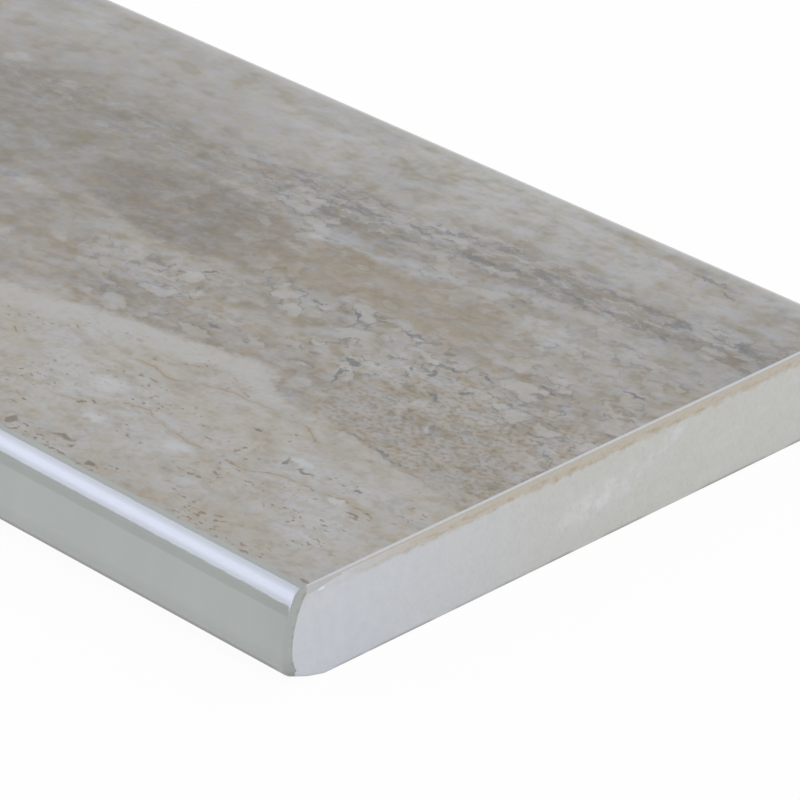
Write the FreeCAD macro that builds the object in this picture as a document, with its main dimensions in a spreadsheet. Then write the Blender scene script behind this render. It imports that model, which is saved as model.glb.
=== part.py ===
# A bullnose trim tile of glazed porcelain: a strip 3 in wide and 18 in long whose front long edge is
# ground to a rounded nose and glazed over, to finish the edge of a tiled floor, wall or worktop.
#
# The tile is one fired piece. It lies face up on its bed. X runs along the tile, the nose faces -Y,
# the straight edge that butts against the field tile faces +Y, and Z is up from the bed.
# The origin is at the middle of the bed. Lengths are in millimetres and angles in degrees.

import FreeCAD, Part
import math
import os

import Sketcher

TILE_NODE = "bullnose_tile"

SIZES = (
    # the blank
    ("tile_length", 457.2, "end to end, 18 in"),
    ("tile_width", 76.2, "front of the nose to the straight edge, 3 in"),
    ("tile_thickness", 10.0, "bed to printed face"),
    # the ground nose, from the face round to the bed
    ("shoulder_radius", 1.6, "where the face turns over into the nose"),
    ("nose_radius", 11.0, "the long, nearly upright curve of the nose"),
    ("belly_height", 3.6, "height of the nose's furthest point"),
    ("heel_radius", 4.6, "where the nose turns back in under the belly"),
    ("heel_round", 1.2, "the worn corner between heel and bevel"),
    ("bevel_reach", 4.8, "nose's furthest point to the start of the bed"),
    ("bevel_angle", 13.0, "slope of the bevel under the heel"),
    # edges softened in the press and by the run of the glaze
    ("glaze_arris", 0.5, "round where the face and nose meet the ends and straight edge"),
    ("bed_arris", 0.3, "bevel where the ends and straight edge meet the bed"),
    # the keyed back: shallow square cells between raised ribs
    ("key_cell", 12.0, "side of one cell at the bed"),
    ("key_rib", 3.0, "width of the ribs between cells"),
    ("key_depth", 0.6, "depth of a cell"),
    ("key_draft", 30.0, "slope of a cell's walls, off upright"),
    ("key_border", 9.0, "least width of plain bed outside the cells"),
)


def make_sheet(doc):
    """The driving sizes, one to a row: its name, its value and what it measures."""
    sheet = doc.addObject("Spreadsheet::Sheet", "Sizes")
    for row, (name, value, meaning) in enumerate(SIZES, start=1):
        sheet.set(f"A{row}", name)
        sheet.set(f"B{row}", str(value))
        sheet.set(f"C{row}", meaning)
        sheet.setAlias(f"B{row}", name)
    doc.recompute()
    return sheet


def sketch_on(body, role, name):
    """An empty sketch on one of the body's own origin planes."""
    plane = next(feature for feature in body.Origin.OriginFeatures if feature.Role == role)
    sketch = body.newObject("Sketcher::SketchObject", name)
    sketch.AttachmentSupport = (plane, "")
    sketch.MapMode = "FlatFace"
    return sketch


def bind(sketch, constraint, name, formula):
    """Adds a dimension to the sketch under a name and drives it from the sheet."""
    sketch.renameConstraint(sketch.addConstraint(constraint), name)
    sketch.setExpression(f"Constraints.{name}", formula)


def profile_points(sheet):
    """Centres and joints of the section, worked out from the sheet, as (Y, Z) points."""
    front, back = -sheet.tile_width / 2, sheet.tile_width / 2
    top, belly = sheet.tile_thickness, sheet.belly_height
    points = {
        "bed_back": (back, 0),
        "face_back": (back, top),
        "belly": (front, belly),
        "nose_centre": (front + sheet.nose_radius, belly),
        "heel_centre": (front + sheet.heel_radius, belly),
        "bed_front": (front + sheet.bevel_reach, 0),
    }
    # The shoulder lies inside the nose curve and touches both it and the face.
    shoulder, nose = sheet.shoulder_radius, sheet.nose_radius
    rise = top - shoulder - belly
    run = math.sqrt((nose - shoulder) ** 2 - rise**2)
    points["shoulder_centre"] = (points["nose_centre"][0] - run, top - shoulder)
    points["face_front"] = (points["shoulder_centre"][0], top)
    lean = math.atan2(rise, -run)
    points["shoulder_end"] = (
        points["nose_centre"][0] + nose * math.cos(lean),
        belly + nose * math.sin(lean),
    )
    # The worn corner lies inside the heel curve and touches both it and the bevel.
    slope, worn = math.radians(sheet.bevel_angle), sheet.heel_round
    along = (-math.cos(slope), math.sin(slope))
    inward = (math.sin(slope), math.cos(slope))
    from_heel = (
        points["bed_front"][0] + worn * inward[0] - points["heel_centre"][0],
        worn * inward[1] - belly,
    )
    half = along[0] * from_heel[0] + along[1] * from_heel[1]
    gap = sheet.heel_radius - worn
    reach = -half + math.sqrt(half**2 - (from_heel[0] ** 2 + from_heel[1] ** 2 - gap**2))
    points["bevel_top"] = (points["bed_front"][0] + reach * along[0], reach * along[1])
    points["worn_centre"] = (
        points["bevel_top"][0] + worn * inward[0],
        points["bevel_top"][1] + worn * inward[1],
    )
    lean = math.atan2(
        points["worn_centre"][1] - belly, points["worn_centre"][0] - points["heel_centre"][0]
    )
    points["heel_end"] = (
        points["heel_centre"][0] + sheet.heel_radius * math.cos(lean),
        belly + sheet.heel_radius * math.sin(lean),
    )
    return {name: FreeCAD.Vector(y, z, 0) for name, (y, z) in points.items()}


def arc(centre, start, end):
    """The arc round centre, counter-clockwise from start to end."""
    circle = Part.Circle(centre, FreeCAD.Vector(0, 0, 1), (start - centre).Length)
    angles = [math.atan2(p.y - centre.y, p.x - centre.x) for p in (start, end)]
    return Part.ArcOfCircle(circle, *angles)


def draw_profile(body, sheet, at):
    """The tile's section: bed, straight edge, face, shoulder, nose, heel, worn corner and bevel."""
    sketch = sketch_on(body, "YZ_Plane", "TileSection")
    bed, straight_edge, face, shoulder, nose, heel, worn, bevel = sketch.addGeometry(
        [
            Part.LineSegment(at["bed_front"], at["bed_back"]),
            Part.LineSegment(at["bed_back"], at["face_back"]),
            Part.LineSegment(at["face_back"], at["face_front"]),
            arc(at["shoulder_centre"], at["face_front"], at["shoulder_end"]),
            arc(at["nose_centre"], at["shoulder_end"], at["belly"]),
            arc(at["heel_centre"], at["belly"], at["heel_end"]),
            arc(at["worn_centre"], at["heel_end"], at["bevel_top"]),
            Part.LineSegment(at["bevel_top"], at["bed_front"]),
        ],
        False,
    )
    start, end, centre = 1, 2, 3
    origin = (-1, 1)
    x_axis = -1
    for first, second in ((bed, straight_edge), (straight_edge, face), (bevel, bed)):
        sketch.addConstraint(Sketcher.Constraint("Coincident", first, end, second, start))
    for first, second in (
        (face, shoulder),
        (shoulder, nose),
        (nose, heel),
        (heel, worn),
        (worn, bevel),
    ):
        sketch.addConstraint(Sketcher.Constraint("Tangent", first, end, second, start))
    sketch.addConstraint(Sketcher.Constraint("Horizontal", bed))
    sketch.addConstraint(Sketcher.Constraint("Vertical", straight_edge))
    sketch.addConstraint(Sketcher.Constraint("Horizontal", face))
    sketch.addConstraint(Sketcher.Constraint("PointOnObject", bed, start, x_axis))
    sketch.addConstraint(Sketcher.Constraint("Horizontal", nose, centre, nose, end))
    half_width = sheet.tile_width / 2
    for constraint, name, formula in (
        (("DistanceX", *origin, bed, end, half_width), "back", "Sizes.tile_width / 2"),
        (("DistanceX", nose, end, *origin, half_width), "front", "Sizes.tile_width / 2"),
        (
            ("DistanceY", straight_edge, start, straight_edge, end, sheet.tile_thickness),
            "thickness",
            "Sizes.tile_thickness",
        ),
        (("DistanceY", *origin, nose, end, sheet.belly_height), "belly", "Sizes.belly_height"),
        (("Radius", shoulder, sheet.shoulder_radius), "shoulder", "Sizes.shoulder_radius"),
        (("Radius", nose, sheet.nose_radius), "nose", "Sizes.nose_radius"),
        (("Radius", heel, sheet.heel_radius), "heel", "Sizes.heel_radius"),
        (("Radius", worn, sheet.heel_round), "worn", "Sizes.heel_round"),
        (
            ("DistanceX", nose, end, bevel, end, sheet.bevel_reach),
            "reach",
            "Sizes.bevel_reach",
        ),
        (
            ("Angle", bevel, -math.radians(sheet.bevel_angle)),
            "slope",
            "-Sizes.bevel_angle * 1 deg",
        ),
    ):
        bind(sketch, Sketcher.Constraint(*constraint), name, formula)
    return sketch


def press_blank(body, profile):
    """The section drawn out along X to the tile's length, half to each side of the origin."""
    blank = body.newObject("PartDesign::Pad", "Blank")
    blank.Profile = profile
    blank.SideType = "Symmetric"
    blank.setExpression("Length", "Sizes.tile_length")
    return blank


def edges_where(feature, wanted):
    """The names of the feature's edges whose middle and ends all pass the test."""
    names = []
    for number, edge in enumerate(feature.Shape.Edges, start=1):
        first, last = edge.ParameterRange
        probes = [edge.valueAt(first + share * (last - first)) for share in (0.0, 0.5, 1.0)]
        if all(wanted(point) for point in probes):
            names.append(f"Edge{number}")
    return names


def soften_edges(doc, body, sheet, at, blank):
    """Bevels the bed's edges at the ends and back, and rounds the glazed ones above them."""
    end, back = sheet.tile_length / 2, sheet.tile_width / 2
    top, front = sheet.tile_thickness, at["face_front"].x
    heel_height = at["heel_end"].y
    close = 1e-4

    def at_an_end(point):
        return abs(abs(point.x) - end) < close

    def at_the_back(point):
        return abs(point.y - back) < close

    def glazed(point):
        on_face = abs(point.z - top) < close
        on_nose = point.y < front + close and point.z > heel_height - close
        return (at_an_end(point) and (on_face or on_nose)) or (at_the_back(point) and on_face)

    def bedded(point):
        return abs(point.z) < close and (at_an_end(point) or at_the_back(point))

    bed = body.newObject("PartDesign::Chamfer", "BedArris")
    bed.Base = (blank, edges_where(blank, bedded))
    bed.setExpression("Size", "Sizes.bed_arris")
    doc.recompute()
    glaze = body.newObject("PartDesign::Fillet", "GlazeArris")
    glaze.Base = (bed, edges_where(bed, glazed))
    glaze.setExpression("Radius", "Sizes.glaze_arris")
    doc.recompute()
    return glaze


def draw_cell(body, pitch, counts):
    """One square cell of the keyed back, placed at the first corner of the pattern."""
    sketch = sketch_on(body, "XY_Plane", "KeyCell")
    corners = [FreeCAD.Vector(x, y, 0) for x, y in ((-1, -1), (1, -1), (1, 1), (-1, 1))]
    sides = sketch.addGeometry(
        [Part.LineSegment(corners[i - 1], corners[i]) for i in range(4)], False
    )
    start, end = 1, 2
    origin = (-1, 1)
    for i in range(4):
        sketch.addConstraint(Sketcher.Constraint("Coincident", sides[i - 1], end, sides[i], start))
    left, front, right, back = sides
    for side in (left, right):
        sketch.addConstraint(Sketcher.Constraint("Vertical", side))
    for side in (front, back):
        sketch.addConstraint(Sketcher.Constraint("Horizontal", side))
    sketch.addConstraint(Sketcher.Constraint("Equal", left, front))
    sketch.addConstraint(Sketcher.Constraint("Symmetric", front, start, right, end, *origin))
    bind(
        sketch, Sketcher.Constraint("DistanceX", front, start, front, end, 2), "side", "Sizes.key_cell"
    )
    for axis, count in zip("xy", counts):
        sketch.setExpression(f"AttachmentOffset.Base.{axis}", f"-({count} - 1) * {pitch} / 2")
    return sketch


def key_back(doc, body):
    """Sinks the cells of the keyed back, as many as fit inside the plain border."""
    pitch = "(Sizes.key_cell + Sizes.key_rib)"
    counts = [
        f"floor(({side} - 2 * Sizes.key_border + Sizes.key_rib) / {pitch})"
        for side in ("Sizes.tile_length", "Sizes.tile_width")
    ]
    cell = body.newObject("PartDesign::Pocket", "FirstCell")
    cell.Profile = draw_cell(body, pitch, counts)
    cell.Reversed = True
    cell.setExpression("Length", "Sizes.key_depth")
    cell.setExpression("TaperAngle", "-Sizes.key_draft")
    doc.recompute()
    cells = body.newObject("PartDesign::LinearPattern", "KeyedBack")
    cells.Originals = [cell]
    axes = {feature.Role: feature for feature in body.Origin.OriginFeatures}
    cells.Direction = (axes["X_Axis"], [""])
    cells.Direction2 = (axes["Y_Axis"], [""])
    cells.Mode = cells.Mode2 = "Extent"
    cells.setExpression("Occurrences", counts[0])
    cells.setExpression("Occurrences2", counts[1])
    cells.setExpression("Length", f"({counts[0]} - 1) * {pitch}")
    cells.setExpression("Length2", f"({counts[1]} - 1) * {pitch}")
    body.Tip = cells
    doc.recompute()
    return cells


def check(doc, solids):
    """Stops with a plain message if a feature failed or a finished piece isn't a sound solid."""
    failed = [o.Name for o in doc.Objects if {"Invalid", "Error"} & set(o.State)]
    if failed:
        raise RuntimeError(f"these objects failed: {failed}")
    for piece in solids:
        shape = piece.Shape
        if shape.isNull() or not shape.isValid() or len(shape.Solids) != 1:
            raise RuntimeError(f"{piece.Label} isn't one sound solid")


def main():
    doc = FreeCAD.newDocument("BullnoseTile")
    sheet = make_sheet(doc)
    tile = doc.addObject("PartDesign::Body", "Tile")
    tile.Label = TILE_NODE
    at = profile_points(sheet)
    blank = press_blank(tile, draw_profile(tile, sheet, at))
    doc.recompute()
    softened = soften_edges(doc, tile, sheet, at, blank)
    keyed = key_back(doc, tile)
    check(doc, [tile])
    if not keyed.Shape.Volume < softened.Shape.Volume < blank.Shape.Volume:
        raise RuntimeError("a cut took nothing away")
    os.makedirs("parts", exist_ok=True)
    tile.Shape.exportStep(f"parts/{TILE_NODE}.step")
    box = tile.Shape.optimalBoundingBox(False)
    print(f"{TILE_NODE}: {box.XLength:.2f} x {box.YLength:.2f} x {box.ZLength:.2f} mm,")
    print(f"{tile.Shape.Volume / 1000:.1f} cm3, {len(tile.Shape.Faces)} faces")


main()
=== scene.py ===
# A bullnose trim tile of glazed porcelain, face up on a white ground, seen from above its near end.
# X runs along the tile, the rounded nose faces -Y and the printed face looks up. Sizes are in
# millimetres and are turned to metres where they are used.

import math

import bmesh
import bpy
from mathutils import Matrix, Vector


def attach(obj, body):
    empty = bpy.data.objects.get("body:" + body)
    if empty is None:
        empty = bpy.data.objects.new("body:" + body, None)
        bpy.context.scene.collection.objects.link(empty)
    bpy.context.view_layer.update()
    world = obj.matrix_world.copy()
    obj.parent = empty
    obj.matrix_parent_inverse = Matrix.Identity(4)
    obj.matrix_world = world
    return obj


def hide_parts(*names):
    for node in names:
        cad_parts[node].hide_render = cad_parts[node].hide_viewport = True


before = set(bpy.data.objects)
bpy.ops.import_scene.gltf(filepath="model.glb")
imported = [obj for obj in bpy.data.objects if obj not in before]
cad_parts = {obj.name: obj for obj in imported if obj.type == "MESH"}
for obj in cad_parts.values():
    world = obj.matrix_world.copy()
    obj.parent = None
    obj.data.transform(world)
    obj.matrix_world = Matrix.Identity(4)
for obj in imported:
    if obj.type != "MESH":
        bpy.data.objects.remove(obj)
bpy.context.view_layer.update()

MM = 0.001


# The camera stands above the near end, off the nose's side, and looks along the tile from about
# half a metre with a long lens. Its place was solved from the tile's straight edges.
CAMERA_PLACE = (519.88, -303.442, 238.564)
CAMERA_DEGREES = (62.073, 0, 46.177)
CAMERA_LENS = 230.4
CAMERA_SENSOR = 36
SEEN_FROM, SEEN_TO = 20, 20000

bpy.ops.object.camera_add(
    location=[distance * MM for distance in CAMERA_PLACE],
    rotation=[math.radians(turn) for turn in CAMERA_DEGREES],
)
camera = bpy.context.object
camera.name = "camera"
camera.data.sensor_width = CAMERA_SENSOR
camera.data.lens = CAMERA_LENS
camera.data.clip_start = SEEN_FROM * MM
camera.data.clip_end = SEEN_TO * MM
bpy.context.scene.camera = camera
bpy.context.scene.view_settings.view_transform = "Standard"


# The ground is a sheet of matt white card that the tile lies on, and it runs on out of the picture.
# The camera and the glaze see it as plain white, with a little of the tile's shadow left on it.
GROUND_WHITE = "#fafafa"
GROUND_SIDE = 6000
SHADOW_SHARE = 0.05


def srgb(code):
    """A hex colour as it is seen, turned to the linear numbers that a node takes."""
    parts = [int(code[i : i + 2], 16) / 255 for i in (1, 3, 5)]
    linear = [p / 12.92 if p <= 0.04045 else ((p + 0.055) / 1.055) ** 2.4 for p in parts]
    return (*linear, 1)


def add(tree, kind, *values, **named):
    """Adds a node. The values, nodes and sockets given go to its inputs in order, and None leaves
    one alone. A name with a capital is an input too, and any other name is the node's setting."""
    node = tree.nodes.new("ShaderNode" + kind)
    inputs = list(enumerate(values))
    for name, value in named.items():
        if name[0].isupper():
            inputs.append((name.replace("_", " "), value))
        else:
            setattr(node, name, value)
    for where, value in inputs:
        if isinstance(value, bpy.types.Node):
            value = value.outputs[0]
        if isinstance(value, bpy.types.NodeSocket):
            tree.links.new(value, node.inputs[where])
        elif value is not None:
            node.inputs[where].default_value = value
    return node


def seen_directly(tree):
    """1 for rays from the camera, and for those that mirror or pass on its view."""
    path = add(tree, "LightPath").outputs
    mirrored = add(
        tree, "Math", path["Is Glossy Ray"], path["Is Transmission Ray"], operation="MAXIMUM"
    )
    return add(tree, "Math", path["Is Camera Ray"], mirrored, operation="MAXIMUM")


bpy.ops.mesh.primitive_plane_add(size=GROUND_SIDE * MM)
ground = bpy.context.object
ground.name = "ground"
card = bpy.data.materials.new("matt white card")
card.use_nodes = True
tree = card.node_tree
tree.nodes.clear()
paint = add(tree, "BsdfDiffuse", srgb(GROUND_WHITE))
glow = add(tree, "Emission", (1, 1, 1, 1), 1.0)
share = add(tree, "Math", seen_directly(tree), 1 - SHADOW_SHARE, operation="MULTIPLY")
add(tree, "OutputMaterial", add(tree, "MixShader", share, paint, glow))
ground.data.materials.append(card)

# A white cloth tent stands round the tile, lit from its sides, so that upright faces get a little
# more light than the tile's face does. The camera and the glaze see it as plain white.
TENT_FOOT_GLOW = 1.5
TENT_TOP_GLOW = 0.45
TENT_COLOUR = "#fffdf9"

world = bpy.data.worlds.new("white tent")
bpy.context.scene.world = world
world.use_nodes = True
tree = world.node_tree
tree.nodes.clear()
_, _, climb = add(tree, "SeparateXYZ", add(tree, "TexCoord").outputs["Generated"]).outputs
tent_light = add(tree, "MapRange", climb, 0.0, 1.0, TENT_FOOT_GLOW, TENT_TOP_GLOW)
level = add(tree, "MapRange", seen_directly(tree), 0.0, 1.0, tent_light, 1.0)
add(tree, "OutputWorld", add(tree, "Background", srgb(TENT_COLOUR), level))

# A large cool softbox stands beyond the nose's far side. The glaze mirrors it as the long highlight
# on the nose, sharp at both rims and brightest low down where its lamp is. A dark stand fills the
# gap under it. Both show only in reflections, and a plain lamp gives their light.
SOFTBOX_TURN = math.radians(46.0)
SOFTBOX_AWAY = 1100
SOFTBOX_WIDTH = 1500
SOFTBOX_RIM, SOFTBOX_TOP = math.radians(9.1), math.radians(68.0)
SOFTBOX_COLOUR = "#d9deff"
SOFTBOX_GLOW = 11.0
SOFTBOX_FADE = (
    # share of its height, share of its glow
    (0.0, 0.60),
    (0.018, 0.62),
    (0.05, 1.0),
    (0.14, 1.0),
    (0.2, 0.85),
    (0.4, 0.6),
    (1.0, 0.5),
)
STAND_GREY = "#2a2a2a"
STAND_FOOT = -10


def stand_a_panel(name, low, high):
    """An upright panel off the nose's far side, between two heights, seen only in reflections."""
    bpy.ops.mesh.primitive_plane_add(
        size=1,
        location=(
            -math.sin(SOFTBOX_TURN) * SOFTBOX_AWAY * MM,
            -math.cos(SOFTBOX_TURN) * SOFTBOX_AWAY * MM,
            (low + high) / 2 * MM,
        ),
        rotation=(math.radians(90), 0, -SOFTBOX_TURN),
    )
    panel = bpy.context.object
    panel.name = name
    panel.scale = (SOFTBOX_WIDTH * MM, (high - low) * MM, 1)
    panel.visible_camera = panel.visible_diffuse = panel.visible_shadow = False
    return panel


rim = SOFTBOX_AWAY * math.tan(SOFTBOX_RIM)
softbox = stand_a_panel("softbox", rim, SOFTBOX_AWAY * math.tan(SOFTBOX_TOP))
cloth = bpy.data.materials.new("lit softbox cloth")
cloth.use_nodes = True
tree = cloth.node_tree
tree.nodes.clear()
height = add(tree, "SeparateXYZ", add(tree, "TexCoord").outputs["UV"]).outputs["Y"]
lamp_glow = add(tree, "ValToRGB", height)
stops = lamp_glow.color_ramp.elements
stops.remove(stops[-1])
for number, (share_up, part) in enumerate(SOFTBOX_FADE):
    stop = stops.new(share_up) if number else stops[0]
    stop.position = share_up
    stop.color = (part, part, part, 1)
fading = add(tree, "Math", lamp_glow, SOFTBOX_GLOW, operation="MULTIPLY")
add(tree, "OutputMaterial", add(tree, "Emission", srgb(SOFTBOX_COLOUR), fading))
softbox.data.materials.append(cloth)

stand = stand_a_panel("softbox_stand", STAND_FOOT, rim)
fabric = bpy.data.materials.new("dark stand")
fabric.use_nodes = True
tree = fabric.node_tree
tree.nodes.clear()
add(tree, "OutputMaterial", add(tree, "Emission", srgb(STAND_GREY), 1.0))
stand.data.materials.append(fabric)

# The softbox's light comes from a plain square lamp that hangs on the same side. The glaze doesn't
# mirror it.
KEY_WATTS = 1.0
KEY_SIDE = 700
KEY_PLACE = (-620, -600, 750)
KEY_AIM = (200, 0, 0)


def hang_a_lamp(name, light, place, aim):
    """Hangs a light at one place and points it at another, both in millimetres."""
    lamp = bpy.data.objects.new(name, light)
    bpy.context.collection.objects.link(lamp)
    lamp.location = Vector(place) * MM
    lamp.rotation_euler = (Vector(aim) * MM - lamp.location).to_track_quat("-Z", "Y").to_euler()
    return lamp


key = bpy.data.lights.new("key", "AREA")
key.energy = KEY_WATTS
key.size = KEY_SIDE * MM
key_lamp = hang_a_lamp("key", key, KEY_PLACE, KEY_AIM)
key_lamp.visible_glossy = False

# A smaller cool strip light hangs over the back. The glazed arris mirrors it as the bright line
# along the near end.
STRIP_WATTS = 1.2
STRIP_LENGTH, STRIP_WIDTH = 500, 250
STRIP_COLOUR = "#e4e9ff"
STRIP_PLACE = (450, 720, 850)
STRIP_AIM = (228.6, 0, 10)

strip = bpy.data.lights.new("back strip", "AREA")
strip.shape = "RECTANGLE"
strip.size = STRIP_LENGTH * MM
strip.size_y = STRIP_WIDTH * MM
strip.energy = STRIP_WATTS
strip.color = srgb(STRIP_COLOUR)[:3]
hang_a_lamp("back_strip", strip, STRIP_PLACE, STRIP_AIM)


# The tile is one strip of porcelain, pressed and fired, with a nose ground along its front edge and
# glazed. Its section is followed round from the printed face: shoulder, nose, heel, worn corner,
# bevel, bed and straight edge.
TILE_LENGTH = 457.2
TILE_WIDTH = 76.2
TILE_THICKNESS = 10.0
SHOULDER_RADIUS = 1.6
NOSE_RADIUS = 11.0
BELLY_HEIGHT = 3.6
HEEL_RADIUS = 4.6
HEEL_ROUND = 1.2
BEVEL_REACH = 4.8
BEVEL_ANGLE = math.radians(13.0)

# The face's rows and columns are a millimetre apart. The last 1.4 mm at each end is a column of
# 0.4 mm and one of 1 mm, and the arris is rounded in the last.
GRID = 1.0
END_COLUMN = 1.4
LAST_COLUMN = 1.0
SHOULDER_STEPS, NOSE_STEPS, HEEL_STEPS, CORNER_STEPS = 9, 10, 7, 4
BEVEL_ROWS = 5
EDGE_ROWS = 8

# A place within NEAR of a plane lies in it, and points closer than MERGE are one.
NEAR = 1e-3
MERGE = 0.01

front, back = -TILE_WIDTH / 2, TILE_WIDTH / 2
nose_centre = Vector((front + NOSE_RADIUS, BELLY_HEIGHT))
heel_centre = Vector((front + HEEL_RADIUS, BELLY_HEIGHT))
bed_front = Vector((front + BEVEL_REACH, 0))

# The shoulder lies inside the nose's curve and touches both it and the face.
rise = TILE_THICKNESS - SHOULDER_RADIUS - BELLY_HEIGHT
run = math.sqrt((NOSE_RADIUS - SHOULDER_RADIUS) ** 2 - rise**2)
shoulder_centre = Vector((nose_centre.x - run, TILE_THICKNESS - SHOULDER_RADIUS))
shoulder_turn = math.atan2(run, rise)
nose_turn = math.pi / 2 - shoulder_turn

# The worn corner lies inside the heel's curve and touches both it and the bevel.
bevel_along = Vector((-math.cos(BEVEL_ANGLE), math.sin(BEVEL_ANGLE)))
bevel_inward = Vector((math.sin(BEVEL_ANGLE), math.cos(BEVEL_ANGLE)))
from_heel = bed_front + HEEL_ROUND * bevel_inward - heel_centre
half = bevel_along.dot(from_heel)
gap = HEEL_RADIUS - HEEL_ROUND
bevel_run = -half + math.sqrt(half**2 - from_heel.length_squared + gap**2)
bevel_top = bed_front + bevel_run * bevel_along
worn_centre = bevel_top + HEEL_ROUND * bevel_inward
lean = worn_centre - heel_centre
heel_turn = math.atan2(-lean.y, -lean.x)
worn_turn = math.pi / 2 - BEVEL_ANGLE - heel_turn

bpy.ops.object.select_all(action="DESELECT")
columns = round((TILE_LENGTH - 2 * END_COLUMN) / GRID)
rows = round((back - shoulder_centre.x) / GRID)
bpy.ops.mesh.primitive_grid_add(
    x_subdivisions=columns,
    y_subdivisions=rows,
    size=1,
    location=(0, 0, 0),
)
tile = bpy.context.object
tile.name = "tile"
bpy.ops.object.mode_set(mode="EDIT")
bpy.ops.transform.resize(
    value=((TILE_LENGTH - 2 * END_COLUMN) * MM, (back - shoulder_centre.x) * MM, 1)
)
bpy.ops.transform.translate(
    value=(0, (back + shoulder_centre.x) / 2 * MM, TILE_THICKNESS * MM)
)


def pick(kind, test):
    """Selects the tile's edges or faces that pass the test, which gets the places of an edge's two
    ends, or of a face's middle, in millimetres. All else is deselected."""
    bpy.ops.mesh.select_mode(type=kind)
    bpy.ops.mesh.select_all(action="DESELECT")
    mesh = bmesh.from_edit_mesh(tile.data)
    for part in mesh.edges if kind == "EDGE" else mesh.faces:
        if kind == "EDGE":
            chosen = all(test(*(corner.co / MM)) for corner in part.verts)
        else:
            chosen = test(*(part.calc_center_median() / MM))
        if chosen:
            part.select_set(True)
    bmesh.update_edit_mesh(tile.data)


def turn_over(centre, angle, steps):
    """Spins the selected row of edges about a line along the tile, from face to bed."""
    bpy.ops.mesh.spin(
        steps=steps,
        angle=-angle,
        center=(0, centre.x * MM, centre.y * MM),
        axis=(1, 0, 0),
    )


def draw_out(along=0, across=0, up=0):
    """Extrudes the selected edges, in millimetres."""
    bpy.ops.mesh.extrude_region_move(
        TRANSFORM_OT_translate={"value": (along * MM, across * MM, up * MM)}
    )


pick("EDGE", lambda x, y, z: y < shoulder_centre.x + NEAR)
turn_over(shoulder_centre, shoulder_turn, SHOULDER_STEPS)
turn_over(nose_centre, nose_turn, NOSE_STEPS)
turn_over(heel_centre, heel_turn, HEEL_STEPS)
turn_over(worn_centre, worn_turn, CORNER_STEPS)
for _ in range(BEVEL_ROWS):
    draw_out(
        across=-bevel_run * bevel_along.x / BEVEL_ROWS,
        up=-bevel_run * bevel_along.y / BEVEL_ROWS,
    )

# The bed is pressed with square cells that the adhesive keys into. They sit on an even pitch about
# the middle, and the bed's rows stop at their sides.
KEY_CELL = 12.0
KEY_RIB = 3.0
KEY_DEPTH = 0.6
KEY_DRAFT = math.radians(30.0)
KEY_BORDER = 9.0
pitch = KEY_CELL + KEY_RIB
cells_along = math.floor((TILE_LENGTH - 2 * KEY_BORDER + KEY_RIB) / pitch)
cells_across = math.floor((TILE_WIDTH - 2 * KEY_BORDER + KEY_RIB) / pitch)
middles = [(number - (cells_across - 1) / 2) * pitch for number in range(cells_across)]
stops = [middle + side * KEY_CELL / 2 for middle in middles for side in (-1, 1)] + [back]
reached = bed_front.x
for stop in stops:
    draw_out(across=stop - reached)
    reached = stop
for _ in range(EDGE_ROWS):
    draw_out(up=TILE_THICKNESS / EDGE_ROWS)
bpy.ops.mesh.select_all(action="SELECT")
bpy.ops.mesh.remove_doubles(threshold=MERGE * MM)

# The two ends are drawn out by their last two columns and closed.
half_length = TILE_LENGTH / 2
sleeve_end = half_length - END_COLUMN
for side in (-1, 1):
    pick("EDGE", lambda x, y, z: side * x > sleeve_end - NEAR)
    draw_out(along=side * (END_COLUMN - LAST_COLUMN))
    draw_out(along=side * LAST_COLUMN)
    bpy.ops.mesh.edge_face_add()
bpy.ops.mesh.select_all(action="SELECT")
bpy.ops.mesh.normals_make_consistent(inside=False)


def in_a_cell(x, y, z):
    """Whether a place on the bed is inside one of the cells."""
    number_along = x / pitch + (cells_along - 1) / 2
    number_across = y / pitch + (cells_across - 1) / 2
    inside = 0.5 * KEY_CELL / pitch
    return (
        z < NEAR
        and -0.5 < number_along < cells_along - 0.5
        and -0.5 < number_across < cells_across - 0.5
        and abs(number_along - round(number_along)) < inside
        and abs(number_across - round(number_across)) < inside
    )


# Each cell is pressed in with sloping walls.
pick("FACE", in_a_cell)
bpy.ops.mesh.inset(
    thickness=KEY_DEPTH * math.tan(KEY_DRAFT) * MM,
    depth=-KEY_DEPTH * MM,
    use_even_offset=True,
    use_relative_offset=False,
)
bpy.ops.object.mode_set(mode="OBJECT")

# The glazed edges are rounded by the run of the glaze, most where the nose meets the ends. The
# bed's edges are barely broken, and the upright corners at the back are sharper still.
NOSE_ARRIS = 0.85
GLAZE_ARRIS = 0.5
BED_ARRIS = 0.3
CORNER_ARRIS = 0.15
ARRIS_EASE = 2
ARRIS_STEPS = 4
weights = []
for edge in tile.data.edges:
    ends = [tile.data.vertices[number].co / MM for number in edge.vertices]
    at_end = all(abs(end.x) > half_length - NEAR for end in ends)
    at_back = all(end.y > back - NEAR for end in ends)
    on_face = all(end.z > TILE_THICKNESS - NEAR for end in ends)
    on_bed = all(end.z < NEAR for end in ends) and min(end.y for end in ends) > bed_front.x - NEAR
    arris = 0.0
    if on_bed and (at_end or at_back):
        arris = BED_ARRIS
    elif at_end and at_back and not on_face:
        arris = CORNER_ARRIS
    elif at_end or (at_back and on_face):
        to_nose = (shoulder_centre.x + ARRIS_EASE - ends[0].y) / ARRIS_EASE
        past_shoulder = min(max(to_nose, 0), 1)
        arris = GLAZE_ARRIS + (NOSE_ARRIS - GLAZE_ARRIS) * past_shoulder
        if ends[0].z < bevel_top.y + NEAR and ends[1].z < bevel_top.y + NEAR:
            up_bevel = (ends[0].z + ends[1].z) / 2 / bevel_top.y
            arris = BED_ARRIS + (NOSE_ARRIS - BED_ARRIS) * up_bevel
    weights.append(arris / NOSE_ARRIS)
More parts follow.
